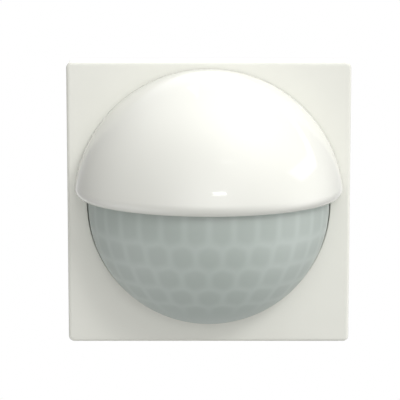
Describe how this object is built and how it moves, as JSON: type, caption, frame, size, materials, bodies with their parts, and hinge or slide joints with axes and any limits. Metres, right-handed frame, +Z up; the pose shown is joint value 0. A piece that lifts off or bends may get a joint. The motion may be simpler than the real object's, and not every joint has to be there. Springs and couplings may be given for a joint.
{
  "type": "motion sensor",
  "caption": "Flush-mounted infrared motion sensor with a square plate, a segmented dome lens and a clip-on hood over its setting dials, plugged onto a wall-box relay insert.",
  "frame": {"origin": "centre of the device on the wall plane, where the support ring meets the wall", "axes": "-Y out of the wall the way the sensor looks, +X to the right as it is looked at from the front, +Z up"},
  "size_m": [0.07, 0.0674, 0.07],
  "materials": {
    "plate_white": "cream-white gloss",
    "hood_white": "white high gloss",
    "lens_milky": "milky polyethylene, satin",
    "inner_white": "matte moulded",
    "dark_plastic": "matte moulded",
    "grey_plastic": "matte moulded",
    "orange_plastic": "matte moulded",
    "board_green": "solder mask",
    "steel": "zinc plated",
    "tin": "tinned",
    "copper": "bare copper alloy",
    "filter_black": "infrared filter",
    "capacitor_blue": "lacquered sleeve",
    "film_yellow": "moulded box",
    "clear_resin": "clear epoxy",
    "red_resin": "tinted epoxy"
  },
  "bodies": {
    "wall_insert": {"support_ring": "steel", "ring_rivet_1": "steel", "ring_rivet_2": "steel", "ring_rivet_3": "steel", "ring_rivet_4": "steel", "left_box_screw": "steel", "right_box_screw": "steel", "insert_housing": "grey_plastic", "insert_cover": "dark_plastic", "insert_socket": "inner_white", "power_board": "board_green", "relay": "dark_plastic", "film_capacitor": "film_yellow", "storage_capacitor": "capacitor_blue", "suppression_choke": "copper", "varistor": "capacitor_blue", "terminal_block": "grey_plastic", "line_contact": "copper", "neutral_contact": "copper", "switched_contact": "copper"},
    "sensor_module": {"cover_plate": "plate_white", "lens": "lens_milky", "control_housing": "inner_white", "module_frame": "inner_white", "corner_screw_1": "steel", "corner_screw_2": "steel", "corner_screw_3": "steel", "corner_screw_4": "steel", "main_board": "board_green", "microcontroller": "dark_plastic", "smoothing_capacitor": "capacitor_blue", "light_sensor": "clear_resin", "status_lamp": "red_resin", "sensor_holder": "dark_plastic", "left_infrared_sensor": "tin", "right_infrared_sensor": "tin", "left_infrared_window": "filter_black", "right_infrared_window": "filter_black", "control_board": "board_green", "range_trimmer": "dark_plastic", "time_trimmer": "dark_plastic", "light_trimmer": "dark_plastic", "mode_switch": "tin", "board_link": "tin", "module_plug": "dark_plastic", "plug_pins": "copper", "module_rear_cover": "inner_white"},
    "hood": {"hood": "hood_white"},
    "range_dial": {"range_dial": "grey_plastic"},
    "time_dial": {"time_dial": "grey_plastic"},
    "light_dial": {"light_dial": "grey_plastic"},
    "mode_slider": {"mode_slider": "dark_plastic"},
    "line_release_button": {"line_release_button": "orange_plastic"},
    "neutral_release_button": {"neutral_release_button": "orange_plastic"},
    "switched_release_button": {"switched_release_button": "orange_plastic"}
  },
  "joints": [
    {"name": "module_pull", "type": "slide", "parent": "wall_insert", "child": "sensor_module", "axis": [0, -1, 0], "range_m": [0, 0.04]},
    {"name": "hood_pull", "type": "slide", "parent": "sensor_module", "child": "hood", "axis": [0, -1, 0], "range_m": [0, 0.045]},
    {"name": "range_turn", "type": "hinge", "parent": "sensor_module", "child": "range_dial", "pos_m": [-0.013, -0.0225, 0.011], "axis": [0, -1, 0], "range_deg": [-135, 135]},
    {"name": "time_turn", "type": "hinge", "parent": "sensor_module", "child": "time_dial", "pos_m": [-0.0045, -0.0225, 0.011], "axis": [0, -1, 0], "range_deg": [-135, 135]},
    {"name": "light_turn", "type": "hinge", "parent": "sensor_module", "child": "light_dial", "pos_m": [0.004, -0.0225, 0.011], "axis": [0, -1, 0], "range_deg": [-135, 135]},
    {"name": "mode_slide", "type": "slide", "parent": "sensor_module", "child": "mode_slider", "axis": [1, 0, 0], "range_m": [-0.002, 0.002]},
    {"name": "line_press", "type": "slide", "parent": "wall_insert", "child": "line_release_button", "axis": [0, -1, 0], "range_m": [0, 0.0012], "stiffness_N_per_m": 1500, "springref_m": -0.0008},
    {"name": "neutral_press", "type": "slide", "parent": "wall_insert", "child": "neutral_release_button", "axis": [0, -1, 0], "range_m": [0, 0.0012], "stiffness_N_per_m": 1500, "springref_m": -0.0008},
    {"name": "switched_press", "type": "slide", "parent": "wall_insert", "child": "switched_release_button", "axis": [0, -1, 0], "range_m": [0, 0.0012], "stiffness_N_per_m": 1500, "springref_m": -0.0008}
  ]
}
